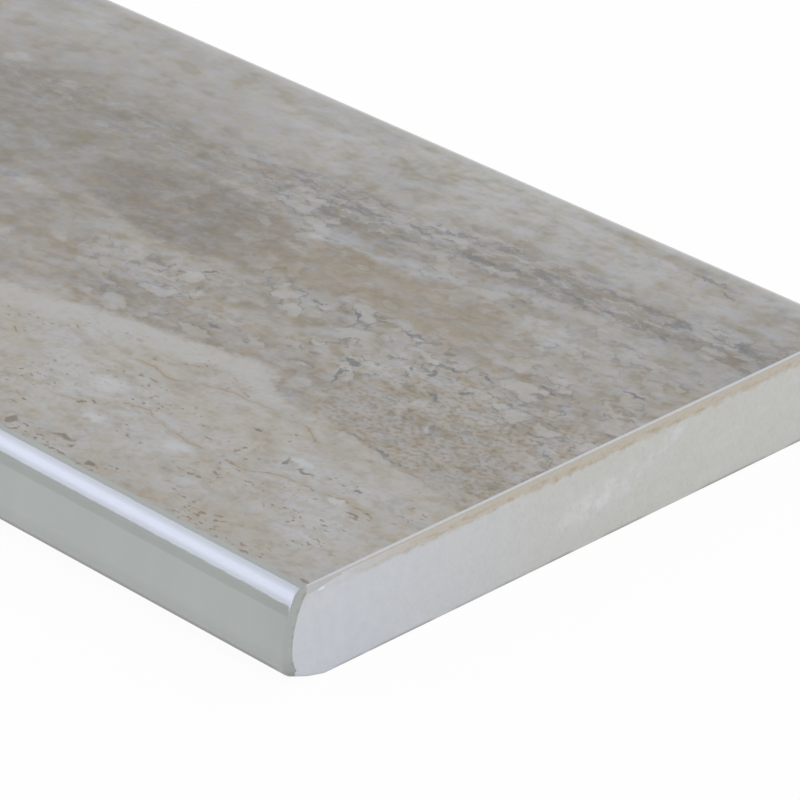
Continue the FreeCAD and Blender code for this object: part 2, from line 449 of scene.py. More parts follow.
layer = tile.data.attributes.new("bevel_weight_edge", "FLOAT", "EDGE")
layer.data.foreach_set("value", weights)
rounding = tile.modifiers.new("rounding", "BEVEL")
rounding.limit_method = "WEIGHT"
rounding.width = NOSE_ARRIS * MM
rounding.segments = ARRIS_STEPS
rounding.use_clamp_overlap = False
bpy.ops.object.modifier_apply(modifier=rounding.name)

# At the ends the glaze runs over the edge in a flattened curve, so the arris reaches only half as
# far along the tile as it does down the end. The two lower corners of the nose are worn rounder.
# The last row before the arris is drawn in behind it, so that it rounds off over a fifth of a
# millimetre more.
ARRIS_REACH = 0.45
CORNER_REACH = 1.5
CORNER_TOP, CORNER_FOOT = 3.4, 0.8
CORNER_DEPTH = 1.5
SOFTENING = 0.2
CORNER_SOFTENING = 0.07
for vertex in tile.data.vertices:
    from_end = half_length - abs(vertex.co.x) / MM
    if from_end < LAST_COLUMN + NEAR:
        down = (CORNER_TOP - vertex.co.z / MM) / (CORNER_TOP - CORNER_FOOT)
        low = min(max(down, 0), 1)
        forward = (bevel_top.x + CORNER_DEPTH - vertex.co.y / MM) / CORNER_DEPTH
        up_front = min(max(forward, 0), 1)
        corner = low * up_front
        reach = ARRIS_REACH + (CORNER_REACH - ARRIS_REACH) * corner
        from_end = min(from_end, NOSE_ARRIS) * reach
        if abs(vertex.co.x) / MM < half_length - LAST_COLUMN + NEAR:
            from_end += SOFTENING + (CORNER_SOFTENING - SOFTENING) * corner
        vertex.co.x = math.copysign(half_length - from_end, vertex.co.x) * MM

tile.data.attributes.remove(tile.data.attributes["bevel_weight_edge"])
SHARP_FROM = math.radians(25)
bpy.ops.object.shade_smooth_by_angle(angle=SHARP_FROM)

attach(tile, "root")
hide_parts("bullnose_tile")

# The face is glazed porcelain with a travertine print: ink laid on engobe under a satin glaze, so
# it has no relief of its own and shines softly. It shows cream, tan and grey stone laid down in
# long beds that run with the tile and climb a little towards the near end.
STONE_BEDS = (
    # height across the beds in mm, colour
    (0, "#a5a19a"),
    (26, "#9f9a93"),
    (29, "#968f88"),
    (32.5, "#97918a"),
    (36, "#9f9a94"),
    (42, "#9f9b96"),
    (47, "#9c968f"),
    (54, "#9e9a96"),
    (57.5, "#9d9c9b"),
    (59.5, "#9b9896"),
    (61.8, "#8f8b86"),
    (65.3, "#94908c"),
    (67, "#9e9c9a"),
    (69.5, "#a8a7a6"),
    (73.5, "#abaaaa"),
    (77.5, "#aeaeac"),
    (80, "#a4a3a0"),
    (86, "#9f9c99"),
    (92, "#96918c"),
    (98, "#a09b94"),
    (106, "#a9a6a1"),
    (114, "#9c9791"),
    (122, "#a5a19b"),
)
BEDS_SPAN = 122
BEDS_CLIMB = -0.09

glaze = bpy.data.materials.new("printed travertine glaze")
glaze.use_nodes = True
tree = glaze.node_tree
tree.nodes.clear()
ACROSS_START = 0.45


def measured_places(tree):
    """Places in millimetres: along from the near end, where the tile goes off to minus, across
    from a line a little behind the nose's front, and up from the bed."""
    return add(
        tree,
        "Mapping",
        add(tree, "TexCoord").outputs["Object"],
        Location=(-half_length, -front - ACROSS_START, 0),
        Scale=(1 / MM, 1 / MM, 1 / MM),
    )


place = measured_places(tree)


def wander(size, reach, detail):
    """How far stone drifts from its bed: noise of one grain size, in mm each way."""
    noise = add(tree, "TexNoise", Vector=place, Scale=1 / size, Detail=detail, Roughness=0.55)
    centred = add(
        tree, "VectorMath", noise.outputs["Color"], (0.5, 0.5, 0.5), operation="SUBTRACT"
    )
    return add(tree, "VectorMath", centred, reach, operation="MULTIPLY")


drifted = add(tree, "VectorMath", place, wander(22, (10, 4, 0), 1), operation="ADD")
drifted = add(tree, "VectorMath", drifted, wander(3.5, (3.5, 2.4, 0), 2), operation="ADD")
frayed = add(tree, "VectorMath", place, wander(1.0, (2.0, 1.8, 0), 2), operation="ADD")
along, across, _ = add(tree, "SeparateXYZ", drifted).outputs
true_along, true_across, true_up = add(tree, "SeparateXYZ", place).outputs
bed = add(tree, "Math", along, BEDS_CLIMB, across, operation="MULTIPLY_ADD")
share = add(tree, "Math", bed, BEDS_SPAN, operation="DIVIDE")


def bed_ramp(stops_wanted):
    """A ramp across the beds: (height in mm, colour or strength), eased between."""
    ramp = add(tree, "ValToRGB", share)
    ramp.color_ramp.interpolation = "EASE"
    stops = ramp.color_ramp.elements
    stops.remove(stops[-1])
    for number, (height, tone) in enumerate(stops_wanted):
        stop = stops.new(height / BEDS_SPAN) if number else stops[0]
        stop.position = height / BEDS_SPAN
        stop.color = srgb(tone) if isinstance(tone, str) else (tone, tone, tone, 1)
    return ramp


def between(value, low, high, soft):
    """1 where a value lies between two heights, falling off softly at both."""
    rising = add(tree, "MapRange", value, low - soft, low + soft, interpolation_type="SMOOTHSTEP")
    falling = add(
        tree, "MapRange", value, high - soft, high + soft, 1.0, 0.0, interpolation_type="SMOOTHSTEP"
    )
    return add(tree, "Math", rising, falling, operation="MULTIPLY")


def both(first, second):
    """Where two masks overlap."""
    return add(tree, "Math", first, second, operation="MULTIPLY")


def either(first, second):
    """The stronger of two masks."""
    return add(tree, "Math", first, second, operation="MAXIMUM")


def lay(ground, colour, mask, strength=1.0, blend="MIX"):
    """Lays a colour over the print so far, through a mask. It can tint darker or paler too."""
    if strength != 1.0:
        mask = add(tree, "Math", mask, strength, operation="MULTIPLY")
    colour = srgb(colour) if isinstance(colour, str) else colour
    return add(tree, "MixRGB", mask, ground, colour, blend_type=blend)


def mottle(ground, noise, pale, dark, strength):
    """Tints the print paler where a noise is high and darker where it is low."""
    ground = lay(ground, pale, both(where(noise, 0.51, 0.66), strength), 1.0, "SCREEN")
    return lay(ground, dark, both(where(noise, 0.49, 0.34), strength), 1.0, "MULTIPLY")


def stone_noise(long, wide, detail=2.0, roughness=0.5, shift=0.0, through=place):
    """Noise whose grains are so long along the beds and so wide across them, in mm."""
    stretched = add(
        tree,
        "Mapping",
        through,
        Location=(shift, shift, shift),
        Rotation=(0, 0, BEDS_CLIMB),
        Scale=(1 / long, 1 / wide, 1 / wide),
    )
    return add(tree, "TexNoise", Vector=stretched, Scale=1.0, Detail=detail, Roughness=roughness)


def where(noise, low, high):
    """A mask that goes from 0 to 1 as a noise passes between two levels, upwards or downwards."""
    return add(tree, "MapRange", noise, low, high, interpolation_type="SMOOTHSTEP")


THROUGH = 100


def marks(places):
    """How near single marks are, 1 in the middle of one and 0 outside: (from the near end, across,
    half length, half width, tilt in degrees). They go right through, so height doesn't count."""
    mask = 0.0
    for from_end, up, half_long, half_wide, tilt in places:
        spot = add(
            tree,
            "Mapping",
            frayed,
            Location=(-from_end, up, TILE_THICKNESS),
            Rotation=(0, 0, math.radians(tilt)),
            Scale=(half_long, half_wide, THROUGH),
            vector_type="TEXTURE",
        )
        mask = either(add(tree, "TexGradient", spot, gradient_type="SPHERICAL").outputs[1], mask)
    return mask


# Paler and browner patches of stone, some five times as long as wide, lie all along the beds.
PALE_PATCH, BROWN_PATCH = "#adadad", "#8f8880"
print_colour = bed_ramp(STONE_BEDS)
patches = stone_noise(26, 5.5, 3, 0.55, 4.0, drifted)
print_colour = lay(print_colour, PALE_PATCH, where(patches, 0.53, 0.68), 0.5)
print_colour = lay(print_colour, BROWN_PATCH, where(patches, 0.47, 0.33), 0.5)

# Brown lenses lie one behind the other along the middle, and run out of a taupe shadow. Broad
# shaded and paler places, a few centimetres long, lie about them.
BROWN_LENSES = (
    # from the near end, across, half length, half width, tilt
    (31.2, 49.0, 11.2, 5.8, 4),
    (45.5, 47.4, 10.0, 5.4, 4),
    (63.5, 46.0, 19.0, 8.0, -2),
)
SHADED_STONE = (
    (98.0, 66.0, 36.0, 11.0, 0),
    (105.0, 67.0, 10.0, 5.0, 0),
    (55.0, 67.5, 9.0, 5.0, 0),
    (15.0, 75.0, 9.0, 4.0, 0),
    (86.0, 45.5, 12.0, 6.0, 0),
    (8.0, 39.0, 7.0, 4.5, 0),
    (50.0, 54.0, 17.0, 4.0, 4),
    (42.5, 40.5, 13.0, 5.5, 0),
    (56.0, 30.5, 9.0, 5.0, 10),
    (72.0, 34.0, 14.0, 5.5, -8),
    (5.0, 64.0, 10.0, 14.0, 0),
    (30.0, 59.4, 18.0, 3.0, 5),
)
PALE_STONE = (
    (70.0, 74.5, 14.0, 4.5, 0),
    (21.0, 52.0, 9.0, 3.6, 4),
    (44.0, 61.0, 7.0, 3.0, 0),
    (8.0, 64.5, 5.0, 3.0, 0),
    (27.0, 37.4, 4.5, 3.5, 0),
    (107.0, 71.0, 9.0, 4.0, 0),
)
SHADE, PALE_GREY, TAUPE = "#ebe9e7", "#aeb0b3", "#88847e"
FAR_BROWN, NEAR_BROWN = "#7d766e", "#938a7c"
TAUPE_LOW, TAUPE_HIGH = 34, 60
TAUPE_FAR, TAUPE_NEAR = -126, -76
shaded = where(marks(SHADED_STONE), 0.0, 0.6)
print_colour = lay(print_colour, SHADE, shaded, 0.85, "MULTIPLY")
print_colour = lay(print_colour, PALE_GREY, where(marks(PALE_STONE), 0.0, 0.6), 0.5)
taupe = between(across, TAUPE_LOW, TAUPE_HIGH, 7.0)
taupe = both(taupe, between(along, TAUPE_FAR, TAUPE_NEAR, 12.0))
print_colour = lay(print_colour, TAUPE, taupe, 0.95)
lens = where(marks(BROWN_LENSES), 0.05, 0.27)
near_lens = add(tree, "MapRange", along, -60, -44)
lens_floor = add(tree, "MapRange", near_lens, 0.0, 1.0, 0.7, 0.8)
clouds = stone_noise(3.4, 1.9, 2, 0.55, 9.0)
lens_depth = add(tree, "MapRange", clouds, 0.38, 0.54, lens_floor, 1.0)
lens_colour = add(tree, "MixRGB", near_lens, srgb(FAR_BROWN), srgb(NEAR_BROWN))
lens = both(lens, lens_depth)
print_colour = lay(print_colour, lens_colour, lens)

# The plainest pale pebbles, each in its own place.
PALE_PEBBLES = (
    (25.8, 36.3, 3.6, 2.9, 10),
    (39.4, 39.3, 3.4, 2.2, -10),
    (18.9, 37.3, 2.2, 1.8, 0),
    (33.9, 35.7, 1.5, 1.3, 0),
    (20.5, 53.9, 3.6, 1.6, 8),
    (33.5, 58.4, 1.4, 1.4, 30),
    (31.0, 61.9, 1.0, 0.8, 0),
    (106.5, 58.2, 2.2, 1.8, 0),
    (97.0, 57.3, 1.8, 1.4, 0),
    (81.0, 38.0, 3.5, 1.6, -10),
    (74.5, 29.0, 1.6, 1.2, 0),
    (51.5, 51.3, 1.0, 0.8, 0),
    (16.5, 16.9, 1.3, 1.1, 0),
    (53.5, 36.4, 1.3, 1.3, 0),
)
PEBBLE_GREY = "#b0b1b3"
print_colour = lay(print_colour, PEBBLE_GREY, where(marks(PALE_PEBBLES), 0.0, 0.7), 0.55)

# Mottling: cool pale spots and warm dark ones all over the stone, a millimetre or two across and
# finer and stronger in the grained stone at the near end. Tan and blue-grey stains lie among them.
# The mottling is quieter along a stretch in the middle of the tile's near half.
QUIET_NEAR, QUIET_FAR = -66, -122
quiet = between(true_along, QUIET_FAR, QUIET_NEAR, 14.0)
loud = add(tree, "Math", 1.0, quiet, operation="SUBTRACT")
loud = add(tree, "MapRange", loud, 0.0, 1.0, 0.4, 1.0)

# The first two numbers of each kind of mottling are a grain's length along the beds and its width
# across them, in mm.
blots = stone_noise(4.0, 2.6, 2, 0.55, 71.0)
spots = stone_noise(1.4, 1.05, 1.2, 0.5, 61.0)
grain = stone_noise(0.62, 0.5, 1, 0.5, 3.0)
flakes = stone_noise(9, 1.9, 2, 0.5, 37.0, drifted)
stains = stone_noise(2.0, 1.5, 3, 0.6, 83.0)
grained = both(between(along, -24, 10, 4.0), between(across, 23.5, 42, 2.5))
more_grained = where(stone_noise(45, 11, 2, 0.5, 21.0), 0.56, 0.64)
far_off = add(tree, "MapRange", along, -124, -150)
grained = either(grained, both(more_grained, far_off))
GRAINED_TAN, STAIN_TAN, STAIN_BLUE = "#9c958a", "#a8987f", "#919aa6"
print_colour = lay(print_colour, GRAINED_TAN, grained, 0.3)
print_colour = lay(print_colour, STAIN_TAN, where(stains, 0.53, 0.66), 0.22)
print_colour = lay(print_colour, STAIN_BLUE, where(stains, 0.49, 0.35), 0.3)
graininess = both(add(tree, "MapRange", grained, 0.0, 1.0, 0.08, 0.62), loud)

# A pale tint is screened over the print, so it is written dark, and a dark tint is multiplied.
PALE_TINT, DARK_TINT = "#384354", "#ece8dc"
GRAIN_PALE, GRAIN_DARK = "#3e444b", "#d8cfbd"
calm = add(tree, "MapRange", lens, 0.0, 1.0, 1.0, 0.5)
loud = both(loud, add(tree, "MapRange", true_across, 50, 62, 1.0, 0.7))
print_colour = mottle(print_colour, flakes, PALE_TINT, DARK_TINT, both(calm, 0.32))
print_colour = mottle(print_colour, blots, PALE_TINT, DARK_TINT, both(calm, 0.8))
print_colour = mottle(print_colour, spots, PALE_TINT, DARK_TINT, both(both(loud, calm), 0.76))
print_colour = mottle(print_colour, grain, GRAIN_PALE, GRAIN_DARK, graininess)

# Pebbles of pale stone 2 to 4 mm across lie in the print with broken dark blue-grey cracks round
# them, thickest in the dark bed and under the brown lenses. Dark streaks run along the dark bed.
CRACKED_BEDS = (
    # height across the beds in mm, share of the cracks
    (0, 0.0),
    (29, 0.2),
    (33, 0.7),
    (42, 0.85),
    (46, 0.75),
    (50, 0.45),
    (55, 0.7),
    (60, 0.9),
    (66, 1.0),
    (69, 0.3),
    (73, 0.3),
    (75.5, 0.7),
    (79, 0.3),
    (86, 0.6),
    (95, 0.3),
    (105, 0.7),
    (115, 0.2),
    (122, 0.5),
)
cracked = both(bed_ramp(CRACKED_BEDS), both(loud, loud))
pebbles = stone_noise(3.0, 2.1, 1, 0.5, 13.0, frayed)
clumps = where(stone_noise(12, 6, 2, 0.5, 17.0), 0.38, 0.5)
clumps = both(both(clumps, cracked), calm)
PALE_STONE_GREY, STREAK_PALE = "#b2b3b4", "#b4b5b6"
RIM_GREY, STREAK_GREY, CRACK_GREY = "#66696e", "#65686d", "#5f6369"
print_colour = lay(print_colour, PALE_STONE_GREY, both(where(pebbles, 0.555, 0.62), clumps), 0.65)
broken = where(stone_noise(2.2, 1.6, 1, 0.5, 31.0), 0.43, 0.53)
rims = both(between(pebbles, 0.50, 0.535, 0.02), broken)
print_colour = lay(print_colour, RIM_GREY, both(rims, clumps), 0.85)
streaks = stone_noise(3.0, 0.8, 2, 0.5, 47.0, frayed)
DARK_BED_LOW, DARK_BED_HIGH = 60.5, 67.0
streaked = both(between(bed, DARK_BED_LOW, DARK_BED_HIGH, 1.5), loud)
print_colour = lay(print_colour, STREAK_GREY, both(where(streaks, 0.46, 0.36), streaked), 0.8)
print_colour = lay(print_colour, STREAK_PALE, both(where(streaks, 0.56, 0.66), streaked), 0.55)

# The plainest cracks, each in its own place.
CRACK_STROKES = (
    (27.1, 56.2, 2.2, 0.34, -12),
    (26.4, 55.8, 2.8, 0.46, -16),
    (23.5, 37.6, 1.6, 0.36, -52),
    (29.2, 35.0, 0.9, 0.45, 30),
    (30.0, 43.1, 5.2, 0.36, 2),
    (35.4, 42.0, 1.5, 0.30, -45),
    (40.2, 41.1, 1.5, 0.34, 0),
    (28.4, 34.8, 1.2, 0.55, 15),
    (27.6, 32.0, 2.4, 0.36, -70),
    (26.1, 38.5, 1.6, 0.30, 25),
    (21.6, 39.0, 0.8, 0.45, -60),
    (20.6, 40.6, 1.3, 0.32, 0),
    (17.6, 42.0, 1.6, 0.42, -20),
    (16.4, 38.2, 1.0, 0.45, 30),
    (18.0, 35.6, 1.8, 0.34, -15),
    (11.3, 44.3, 1.9, 0.36, -8),
    (4.6, 49.6, 2.2, 0.38, 3),
    (10.9, 60.0, 1.6, 0.34, -45),
    (11.6, 63.6, 1.8, 0.42, -10),
    (4.4, 64.3, 2.0, 0.40, 0),
    (28.6, 61.4, 2.6, 0.50, 0),
    (36.0, 59.2, 4.0, 0.55, 6),
    (16.2, 72.6, 3.4, 0.45, 0),
    (13.2, 71.4, 1.6, 0.34, -15),
    (52.6, 38.0, 1.4, 0.36, 30),
    (54.7, 35.6, 1.2, 0.34, -60),
    (84.0, 38.4, 1.2, 0.9, 0),
    (76.4, 37.5, 1.3, 0.7, 0),
    (98.6, 57.0, 0.6, 1.5, 0),
    (12.5, 24.0, 9.5, 0.34, -8),
    (43.5, 30.5, 0.9, 0.5, 0),
)
strokes = both(where(marks(CRACK_STROKES), 0.0, 0.5), where(spots, 0.36, 0.56))
print_colour = lay(print_colour, CRACK_GREY, both(strokes, loud), 0.8)

# Cream stone fills the front of the face up to a ragged border, with a whiter skin along it. Past
# the first 125 mm the border rolls up and down as well.
CREAM_BORDER = (
    # from the near end in mm, height of the border in mm
    (0, 21.8),
    (10, 23.2),
    (22, 24.4),
    (28, 24.8),
    (32, 27.6),
    (36, 28.2),
    (41, 26.9),
    (50, 25.6),
    (56, 23.6),
    (66, 21.4),
    (84, 14.0),
    (110, 7.0),
    (150, 3.0),
    (190, 9.0),
    (225, 19.0),
    (262, 24.0),
    (300, 17.0),
    (340, 8.0),
    (380, 5.0),
    (420, 14.0),
    (457, 19.0),
)
BORDER_SPAN = 460
BORDER_HEIGHT = 40
ragged_place = add(tree, "VectorMath", frayed, wander(4, (3, 2, 0), 3), operation="ADD")
rag_along, rag_across, _ = add(tree, "SeparateXYZ", ragged_place).outputs
border_share = add(tree, "Math", rag_along, -BORDER_SPAN, operation="DIVIDE")
border = add(tree, "FloatCurve", 1.0, border_share)
curve = border.mapping.curves[0]
curve.points[0].location = (0, CREAM_BORDER[0][1] / BORDER_HEIGHT)
curve.points[1].location = (1, CREAM_BORDER[-1][1] / BORDER_HEIGHT)
for from_end, height in CREAM_BORDER[1:]:
    curve.points.new(from_end / BORDER_SPAN, height / BORDER_HEIGHT)
border.mapping.update()
border_height = add(tree, "Math", border, BORDER_HEIGHT, operation="MULTIPLY")
below_border = add(tree, "Math", border_height, rag_across, operation="SUBTRACT")
ROLL_LENGTH, ROLL_HEIGHT = 17, 30
rolling = add(tree, "TexNoise", Vector=place, Scale=1 / ROLL_LENGTH, Detail=3)
rolling = add(tree, "Math", rolling, 0.5, operation="SUBTRACT")
roll_height = add(tree, "MapRange", true_along, -125, -150, 0.0, ROLL_HEIGHT)
below_border = add(tree, "Math", rolling, roll_height, below_border, operation="MULTIPLY_ADD")
cream = add(tree, "MapRange", below_border, -0.9, 0.9, interpolation_type="SMOOTHSTEP")
WARM_CREAM, COOL_CREAM = "#aaa7a2", "#adadae"
CREAM_TAN, CREAM_BLUE = "#b0a28b", "#9da4ae"
cream_tone = where(stone_noise(11, 6, 2, 0.5, 2.0), 0.38, 0.62)
cream_stone = add(tree, "MixRGB", cream_tone, srgb(WARM_CREAM), srgb(COOL_CREAM))
cream_stone = lay(cream_stone, CREAM_TAN, where(stains, 0.53, 0.66), 0.2)
cream_stone = lay(cream_stone, CREAM_BLUE, where(stains, 0.49, 0.35), 0.28)

# Broad stains lie in it, two paler and bluer and three tan.
PALE_STAINS = (
    # from the near end, across, half length, half width, tilt
    (44.0, 12.5, 9.0, 6.5, -20),
    (8.5, 10.0, 8.0, 5.0, 10),
)
TAN_STAINS = (
    (57.5, 15.5, 10.0, 3.6, 8),
    (27.0, 18.0, 10.0, 5.0, 4),
    (12.0, 4.5, 14.0, 3.6, 0),
)
STAIN_PALE, STAIN_DEEP_TAN = "#b3b6ba", "#a79f90"
CREAM_DARK, CREAM_GRAIN_PALE, CREAM_GRAIN_DARK = "#ece4d6", "#34383d", "#e2dacb"
cream_stone = lay(cream_stone, STAIN_PALE, where(marks(PALE_STAINS), 0.0, 0.8), 0.45)
cream_stone = lay(cream_stone, STAIN_DEEP_TAN, where(marks(TAN_STAINS), 0.0, 0.8), 0.35)
cream_stone = mottle(cream_stone, flakes, PALE_TINT, DARK_TINT, 0.3)
cream_stone = mottle(cream_stone, blots, PALE_TINT, DARK_TINT, 0.5)
cream_stone = mottle(cream_stone, spots, PALE_TINT, CREAM_DARK, both(loud, 0.5))
cream_stone = mottle(cream_stone, grain, CREAM_GRAIN_PALE, CREAM_GRAIN_DARK, both(loud, 0.2))

# Two tan veins, a third of a millimetre wide with a paler halo, cross the cream stone. Brown dashes
# and pits lie about them and closest along the nose.
VEINS = (
    # from the near end in mm, height of the vein in mm
    (
        (0, 15.5),
        (12, 15.0),
        (18, 13.9),
        (22.3, 12.8),
        (29.6, 13.0),
        (34.6, 13.8),
        (39.5, 11.0),
        (46, 9.0),
    ),
    (
        (16, 20.4),
        (19.5, 21.5),
        (24.5, 22.9),
        (29.2, 22.6),
        (33, 21.9),
        (37, 20.0),
        (41, 20.4),
        (46, 19.0),
    ),
)
VEIN_SPAN = 46
VEIN_HALO, VEIN_BROWN = "#9f937f", "#7b6d58"
KINK_LENGTH, KINK_REACH = 2.2, 1.6
kinked = add(tree, "TexNoise", Vector=place, Scale=1 / KINK_LENGTH, Detail=3)
vein_across = add(tree, "Math", kinked, KINK_REACH, true_across, operation="MULTIPLY_ADD")
vein_across = add(tree, "Math", vein_across, KINK_REACH / 2, operation="SUBTRACT")
for vein in VEINS:
    vein_share = add(tree, "Math", along, -VEIN_SPAN, operation="DIVIDE")
    vein_path = add(tree, "FloatCurve", 1.0, vein_share)
    curve = vein_path.mapping.curves[0]
    curve.points[0].location = (vein[0][0] / VEIN_SPAN, vein[0][1] / BORDER_HEIGHT)
    curve.points[1].location = (1, vein[-1][1] / BORDER_HEIGHT)
    for from_end, height in vein[1:-1]:
        curve.points.new(from_end / VEIN_SPAN, height / BORDER_HEIGHT)
    vein_path.mapping.update()
    off_vein = add(tree, "Math", vein_path, -BORDER_HEIGHT, vein_across, operation="MULTIPLY_ADD")
    off_vein = add(tree, "Math", off_vein, operation="ABSOLUTE")
    vein_length = between(along, 3 - vein[-1][0], -max(vein[0][0] + 2, 4), 2.0)
    vein_there = both(vein_length, where(blots, 0.36, 0.5))
    cream_stone = lay(cream_stone, VEIN_HALO, both(where(off_vein, 0.9, 0.1), vein_there), 0.45)
    vein_there = both(vein_there, where(spots, 0.33, 0.47))
    cream_stone = lay(cream_stone, VEIN_BROWN, both(where(off_vein, 0.2, 0.0), vein_there), 0.5)

CREAM_PITS = (
    # from the near end, across, half length, half width, tilt
    (36.3, 5.0, 2.2, 0.5, 8),
    (34.6, 4.4, 0.6, 0.5, 0),
    (42.5, 3.6, 1.0, 0.7, 0),
    (40.0, 11.7, 1.2, 0.32, 0),
    (40.6, 10.7, 0.6, 0.4, 0),
    (15.6, 16.4, 1.6, 0.4, 5),
    (18.3, 16.6, 0.5, 1.0, 0),
    (9.4, 17.4, 0.7, 0.4, 0),
    (24.6, 19.0, 0.8, 0.35, 0),
    (21.2, 10.4, 1.0, 0.35, -10),
    (30.7, 3.0, 0.8, 0.6, 0),
    (6.5, 14.0, 1.2, 0.4, -10),
)
CREAM_PEBBLES = (
    (17.0, 17.6, 1.8, 0.9, 0),
    (27.6, 11.3, 2.4, 1.1, 6),
    (37.5, 9.5, 2.0, 0.9, 0),
    (9.5, 14.8, 1.5, 0.8, 0),
    (41.5, 15.0, 3.0, 2.0, 0),
)
PEBBLE_WHITE, DASH_BROWN, PIT_BROWN = "#bcbfc4", "#796b57", "#65594a"
NOSE_SIDE_TAN, SKIN_WHITE = "#e8e2d8", "#b4b4b4"
cream_stone = lay(cream_stone, PEBBLE_WHITE, where(marks(CREAM_PEBBLES), 0.0, 0.7), 0.7)
rarer = add(tree, "MapRange", true_across, 3.0, 11.0, 0.56, 0.61)
dashes = add(tree, "Math", stone_noise(0.95, 0.5, 1.5, 0.5, 41.0), rarer, operation="SUBTRACT")
pit_clumps = where(stone_noise(5, 3, 2, 0.5, 43.0), 0.47, 0.6)
pits = both(both(where(dashes, -0.01, 0.08), pit_clumps), loud)
cream_stone = lay(cream_stone, DASH_BROWN, pits, 0.75)
cream_stone = lay(cream_stone, PIT_BROWN, where(marks(CREAM_PITS), 0.1, 0.6), 0.7)
by_nose = both(add(tree, "MapRange", across, 2.0, 8.0, 1.0, 0.0), where(flakes, 0.36, 0.54))
cream_stone = lay(cream_stone, NOSE_SIDE_TAN, by_nose, 0.6, "MULTIPLY")
print_colour = lay(print_colour, cream_stone, cream)
SKIN_DEPTH = 3.2
SKIN_FAR, SKIN_NEAR = -72, -30
skin = both(between(below_border, 0.2, SKIN_DEPTH, 1.0), between(along, SKIN_FAR, SKIN_NEAR, 6.0))
print_colour = lay(print_colour, SKIN_WHITE, skin, 0.6)

# The nose is ground after the first firing and glazed again, so it carries no print: plain glossy
# grey-green glaze that runs a little thick and thin along it, with the print's ragged front edge
# lying on it. Shade is painted into its colour low down, darkest in a line at its foot, and it is a
# little darker over its last few millimetres at the near end. It mirrors less at its foot.
NOSE_GLAZE = "#a7adad"
NOSE_RUN_LENGTH, NOSE_RUN_WIDTH = 5, 30
ragged = add(tree, "TexNoise", Vector=place, Scale=1 / 0.9, Detail=2)
print_edge = add(tree, "Math", ragged, 0.7, true_across, operation="MULTIPLY_ADD")
printed = add(tree, "MapRange", print_edge, 2.5, 2.85, interpolation_type="SMOOTHSTEP")
printed = both(printed, add(tree, "MapRange", true_up, 4.0, 5.0))
run_scale = (1 / NOSE_RUN_LENGTH, 1 / NOSE_RUN_WIDTH, 1 / NOSE_RUN_WIDTH)
runs = add(tree, "Mapping", place, Scale=run_scale)
runs = add(tree, "TexNoise", Vector=runs, Scale=1.0, Detail=3)
runs = add(tree, "MapRange", runs, 0.3, 0.7, 0.975, 1.025)
# Painted shade: the nose's colour darkens from 3.8 mm up down to its foot, most in a thin line just
# above it.
painted_foot_shade = add(tree, "MapRange", true_up, 1.3, 3.8, 0.8, 1.0)
painted_foot_line = add(tree, "MapRange", true_along, -2.6, -0.8, 0.3, 0.85)
painted_foot_shade = both(painted_foot_shade, add(tree, "MapRange", true_up, 1.35, 2.0, painted_foot_line, 1.0))
painted_foot_shade = both(painted_foot_shade, add(tree, "MapRange", true_along, -5.0, -0.5, 1.0, 0.95))
nose_colour = add(tree, "VectorMath", srgb(NOSE_GLAZE)[:3], Scale=runs, operation="SCALE")
nose_colour = add(tree, "VectorMath", nose_colour, Scale=painted_foot_shade, operation="SCALE")
top_colour = add(tree, "MixRGB", printed, nose_colour, print_colour)

# Along the ends and the back the print stops at the arris. Over the last millimetre before the back
# a paler band is painted on as a highlight, where the back arris catches the light. The glaze on
# the arris is pale and glossy, with a duller lower edge.
ARRIS_GLAZE = "#c7ccd4"
ARRIS_COOL, ARRIS_TAN, BACK_PAINTED_HIGHLIGHT = "#b3babd", "#b7b1a6", "#bdbebc"
ARRIS_FROM, ARRIS_FULL = 0.27, 0.2
# Painted highlight: a paler band along the back edge of the face.
painted_back_highlight = both(add(tree, "MapRange", true_across, 73.9, 75.1), printed)
top_colour = lay(top_colour, BACK_PAINTED_HIGHLIGHT, painted_back_highlight, 0.6)
end_arris = add(tree, "MapRange", true_along, -ARRIS_FROM, -ARRIS_FULL)
far_arris = add(
    tree, "MapRange", true_along, ARRIS_FROM - TILE_LENGTH, ARRIS_FULL - TILE_LENGTH
)
back_arris = add(tree, "MapRange", true_across, 75.05, 75.3)
arris_mask = both(either(either(end_arris, far_arris), back_arris), printed)
top_colour = lay(top_colour, ARRIS_GLAZE, arris_mask)
tan_wave = add(tree, "TexNoise", Vector=place, Scale=1 / 0.7, Detail=3)
tan_top = add(tree, "Math", tan_wave, 0.12, true_up, operation="MULTIPLY_ADD")
tan_there = add(tree, "MapRange", true_across, 2.0, 10.0)
low_arris = both(add(tree, "MapRange", tan_top, 9.95, 9.86), arris_mask)
low_colour = add(tree, "MixRGB", tan_there, srgb(ARRIS_COOL), srgb(ARRIS_TAN))
top_colour = lay(top_colour, low_colour, low_arris)

# A broken brownish line is darkened into the colour where the nose's glaze meets each end.
STOP_BROWN = "#cfc6b4"
ragged_end_reach = add(tree, "TexNoise", Vector=place, Scale=1 / 0.8, Detail=3)
ragged_end_reach = add(tree, "Math", ragged_end_reach, 0.16, true_along, operation="MULTIPLY_ADD")
nose_end = add(tree, "MapRange", ragged_end_reach, 0.04, 0.1)
far_nose_end = add(tree, "MapRange", true_along, -TILE_LENGTH + 0.1, -TILE_LENGTH + 0.01)
nose_end = both(either(nose_end, far_nose_end), where(printed, 1.0, 0.0))
nose_end = both(nose_end, where(tan_wave, 0.42, 0.6))
top_colour = lay(top_colour, STOP_BROWN, nose_end, 0.7, "MULTIPLY")

